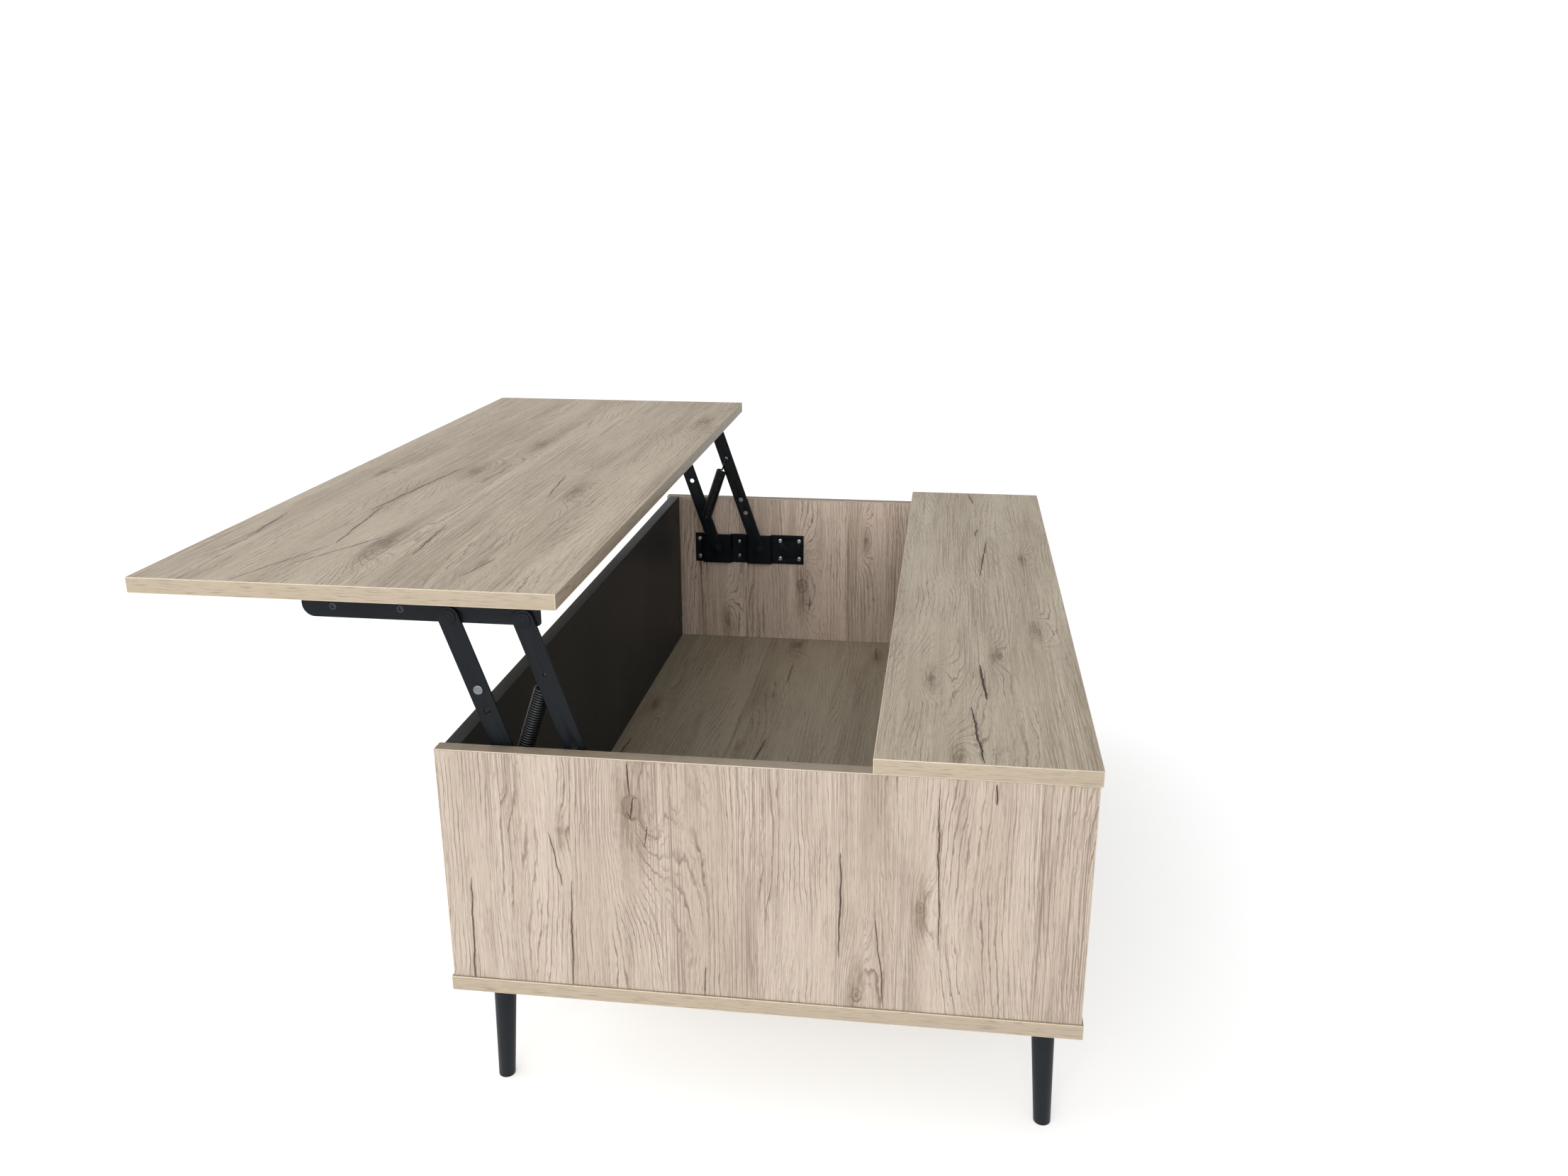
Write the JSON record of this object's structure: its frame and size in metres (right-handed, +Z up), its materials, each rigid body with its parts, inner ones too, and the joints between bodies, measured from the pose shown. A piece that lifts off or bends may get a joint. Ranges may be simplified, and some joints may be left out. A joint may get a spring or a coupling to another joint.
{
  "type": "lift top coffee table",
  "caption": "Coffee table with a top that rises forward on sprung steel arms over an open storage case, a fixed rear top and short tapered legs.",
  "frame": {"origin": "on the floor at the centre of the case and its four feet", "axes": "+X along the length to the right-hand end as one sits at it, +Y from the sitter to the fixed rear top, +Z up; stored with the lift top raised"},
  "size_m": [1, 0.874, 0.5491],
  "materials": {
    "oak_board": "matt oak-effect board with a light grain, knots and fine cracks",
    "black_board": "matt black board",
    "leg_paint": "satin dark slate paint",
    "black_steel": "satin black coating on pressed steel",
    "zinc": "bright zinc plating",
    "spring_steel": "black oiled spring wire"
  },
  "bodies": {
    "case": {"bottom_board": "oak_board", "right_end_panel": "oak_board", "left_end_panel": "oak_board", "front_panel": "black_board", "rear_panel": "black_board", "fixed_top": "oak_board", "front_right_leg": "leg_paint", "front_left_leg": "leg_paint", "rear_right_leg": "leg_paint", "rear_left_leg": "leg_paint", "right_base_plate": "black_steel", "left_base_plate": "black_steel", "right_front_base_pin": "black_steel", "right_rear_base_pin": "black_steel", "left_front_base_pin": "black_steel", "left_rear_base_pin": "black_steel", "right_plate_screw_1": "zinc", "right_plate_screw_2": "zinc", "right_plate_screw_3": "zinc", "right_plate_screw_4": "zinc", "right_plate_screw_5": "zinc", "right_plate_screw_6": "zinc", "left_plate_screw_1": "zinc", "left_plate_screw_2": "zinc", "left_plate_screw_3": "zinc", "left_plate_screw_4": "zinc", "left_plate_screw_5": "zinc", "left_plate_screw_6": "zinc", "right_plate_rivet_1": "zinc", "right_plate_rivet_2": "zinc", "left_plate_rivet_1": "zinc", "left_plate_rivet_2": "zinc"},
    "front_arms": {"right_front_arm": "black_steel", "left_front_arm": "black_steel", "right_arm_stud": "zinc", "left_arm_stud": "zinc"},
    "rear_arms": {"right_rear_arm": "black_steel", "left_rear_arm": "black_steel"},
    "lift_top": {"lift_top": "oak_board", "right_top_rail": "black_steel", "left_top_rail": "black_steel", "right_front_top_pin": "black_steel", "right_rear_top_pin": "black_steel", "left_front_top_pin": "black_steel", "left_rear_top_pin": "black_steel", "right_rail_screw_1": "zinc", "right_rail_screw_2": "zinc", "left_rail_screw_1": "zinc", "left_rail_screw_2": "zinc", "right_flange_screw_1": "zinc", "right_flange_screw_2": "zinc", "left_flange_screw_1": "zinc", "left_flange_screw_2": "zinc"},
    "spring_bases": {"right_lift_spring": "spring_steel", "left_lift_spring": "spring_steel"},
    "spring_tips": {"right_spring_hook": "spring_steel", "left_spring_hook": "spring_steel"}
  },
  "joints": [
    {"name": "lift", "type": "hinge", "parent": "case", "child": "front_arms", "pos_m": [0, -0.2145, 0.311], "axis": [-1, 0, 0], "range_deg": [0, 91.11]},
    {"name": "rear_arm_swing", "type": "hinge", "parent": "case", "child": "rear_arms", "pos_m": [0, -0.1445, 0.311], "axis": [-1, 0, 0], "range_deg": [0, 91.11]},
    {"name": "top_level", "type": "hinge", "parent": "front_arms", "child": "lift_top", "pos_m": [0, -0.28357, 0.5146], "axis": [-1, 0, 0], "range_deg": [-91.11, 0]},
    {"name": "spring_turn", "type": "hinge", "parent": "front_arms", "child": "spring_bases", "pos_m": [0, -0.23121, 0.36024], "axis": [-1, 0, 0], "range_deg": [-30.58, 0]},
    {"name": "spring_stretch", "type": "slide", "parent": "spring_bases", "child": "spring_tips", "axis": [0, 0.321, 0.9471], "range_m": [0, 0.068], "deforming": ["right_lift_spring", "left_lift_spring", "right_spring_hook", "left_spring_hook"]}
  ],
  "couplings": [
    {"joint": "rear_arm_swing", "follows": "lift", "ratio": 1},
    {"joint": "top_level", "follows": "lift", "ratio": -1},
    {"joint": "spring_turn", "follows": "lift", "ratio": -0.33565},
    {"joint": "spring_stretch", "follows": "lift", "m_per_rad": 0.04276}
  ]
}
